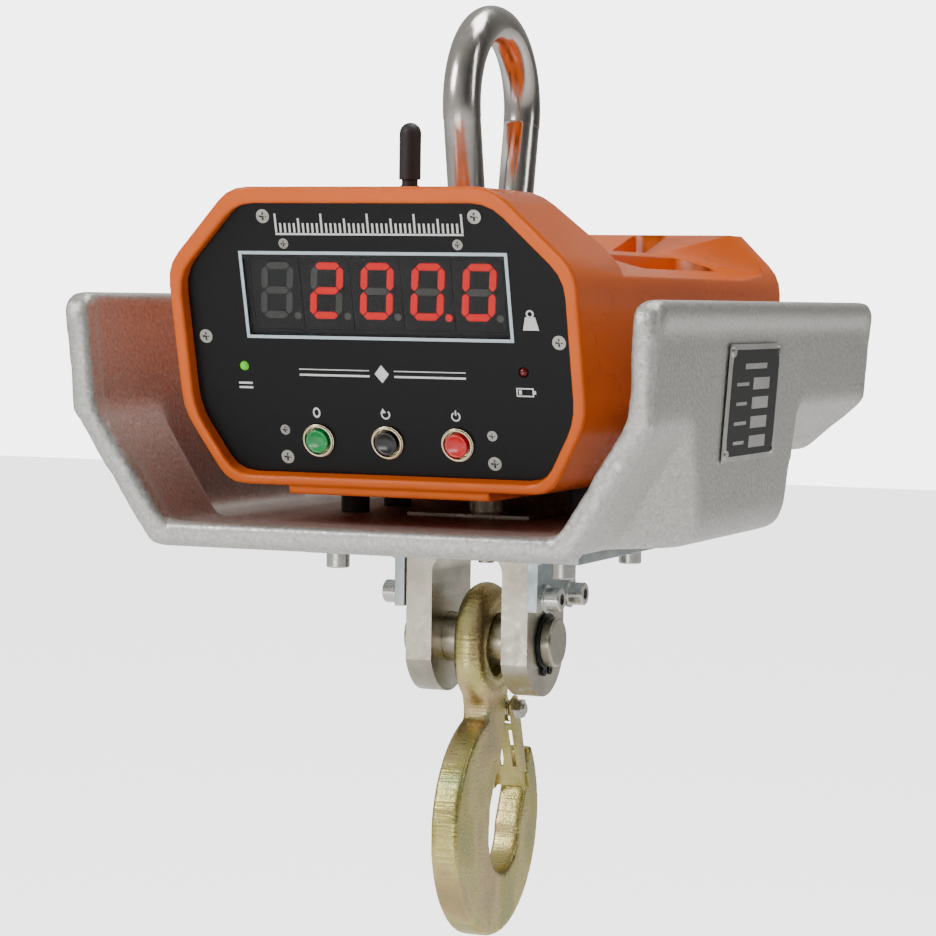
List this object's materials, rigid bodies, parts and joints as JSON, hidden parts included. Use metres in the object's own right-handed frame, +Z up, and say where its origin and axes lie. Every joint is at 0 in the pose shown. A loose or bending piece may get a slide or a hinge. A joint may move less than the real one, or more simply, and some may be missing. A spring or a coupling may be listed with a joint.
{
  "type": "crane scale",
  "caption": "Hanging crane scale: bow shackle, enclosed load cell, slanted digital display with push buttons, cast guard tray, fork and latched eye hook.",
  "frame": {"origin": "crown of the shackle's bow, on its inside, where the crane's hook bears", "axes": "+Z up along the load axis, -Y towards the reader of the display, +X to the reader's right"},
  "size_m": [0.332, 0.4157, 0.5259],
  "materials": {
    "stainless": "polished stainless",
    "machined_steel": "milled stainless, satin",
    "bright_fastener": "bright zinc, satin",
    "zinc_plate": "blue zinc plated",
    "black_steel": "black oxide",
    "yellow_zinc": "yellow passivated zinc over flame-cut steel",
    "cast_aluminium": "as cast, ground edges",
    "orange_coat": "glossy powder coat",
    "panel_black": "satin overlay",
    "window_tint": "tinted lens",
    "digit_black": "matt",
    "board_green": "solder mask",
    "brass": "plain",
    "lamp_green": "clear tinted",
    "lamp_red": "clear tinted",
    "button_green": "glossy",
    "button_black": "glossy",
    "button_red": "glossy",
    "bezel_nickel": "nickel plated",
    "black_plastic": "moulded",
    "black_rubber": "moulded",
    "battery_case": "moulded",
    "data_plate": "etched and filled"
  },
  "bodies": {
    "shackle": {"shackle_bow": "stainless", "shackle_pin": "machined_steel", "shackle_nut": "bright_fastener", "shackle_cotter": "bright_fastener"},
    "scale": {"load_cell": "machined_steel", "fork_stud": "machined_steel", "stud_lock_nut": "bright_fastener", "fork": "machined_steel", "hook_pin": "machined_steel", "hook_pin_circlips": "black_steel", "tray": "cast_aluminium", "tray_plate": "zinc_plate", "plate_screws": "bright_fastener", "ear_screws": "bright_fastener", "ear_washers": "bright_fastener", "casing": "orange_coat", "casing_spacers": "black_plastic", "casing_screws": "bright_fastener", "rear_cover": "orange_coat", "rear_gasket": "black_rubber", "rear_cover_screws": "bright_fastener", "front_panel": "panel_black", "display_window": "window_tint", "digit_modules": "digit_black", "display_board": "board_green", "main_board": "board_green", "board_standoffs": "brass", "panel_screws_large": "bright_fastener", "panel_screws_small": "bright_fastener", "steady_lamp": "lamp_green", "battery_lamp": "lamp_red", "button_bezels": "bezel_nickel", "button_nuts": "bright_fastener", "button_switches": "black_plastic", "battery": "battery_case", "battery_bracket": "zinc_plate", "charging_socket": "bright_fastener", "radio_module": "board_green", "antenna_base": "bright_fastener", "antenna": "black_rubber", "cell_cable": "black_rubber", "nameplate": "data_plate", "nameplate_rivets": "bright_fastener"},
    "hook_body": {"hook": "yellow_zinc", "latch_bolt": "bright_fastener", "latch_nut": "bright_fastener", "latch_spring": "bright_fastener"},
    "latch_body": {"latch": "yellow_zinc"},
    "zero_cap": {"cap_green": "button_green"},
    "recall_cap": {"cap_black": "button_black"},
    "power_cap": {"cap_red": "button_red"}
  },
  "joints": [
    {"name": "shackle_swing", "type": "hinge", "parent": "shackle", "child": "scale", "pos_m": [0, 0, -0.153], "axis": [0, 1, 0], "range_deg": [-10, 10]},
    {"name": "hook_swing", "type": "hinge", "parent": "scale", "child": "hook_body", "pos_m": [0, 0, -0.335], "axis": [1, 0, 0], "range_deg": [-60, 60]},
    {"name": "latch_hinge", "type": "hinge", "parent": "hook_body", "child": "latch_body", "pos_m": [0, 0.02334, -0.37729], "axis": [1, 0, 0], "range_deg": [-38, 0], "stiffness_Nm_per_rad": 0.06, "springref_deg": 34.38},
    {"name": "zero_press", "type": "slide", "parent": "scale", "child": "zero_cap", "axis": [0, 0.9659, 0.2588], "range_m": [0, 0.0015], "stiffness_N_per_m": 900, "springref_m": -0.0006},
    {"name": "recall_press", "type": "slide", "parent": "scale", "child": "recall_cap", "axis": [0, 0.9659, 0.2588], "range_m": [0, 0.0015], "stiffness_N_per_m": 900, "springref_m": -0.0006},
    {"name": "power_press", "type": "slide", "parent": "scale", "child": "power_cap", "axis": [0, 0.9659, 0.2588], "range_m": [0, 0.0015], "stiffness_N_per_m": 900, "springref_m": -0.0006}
  ]
}
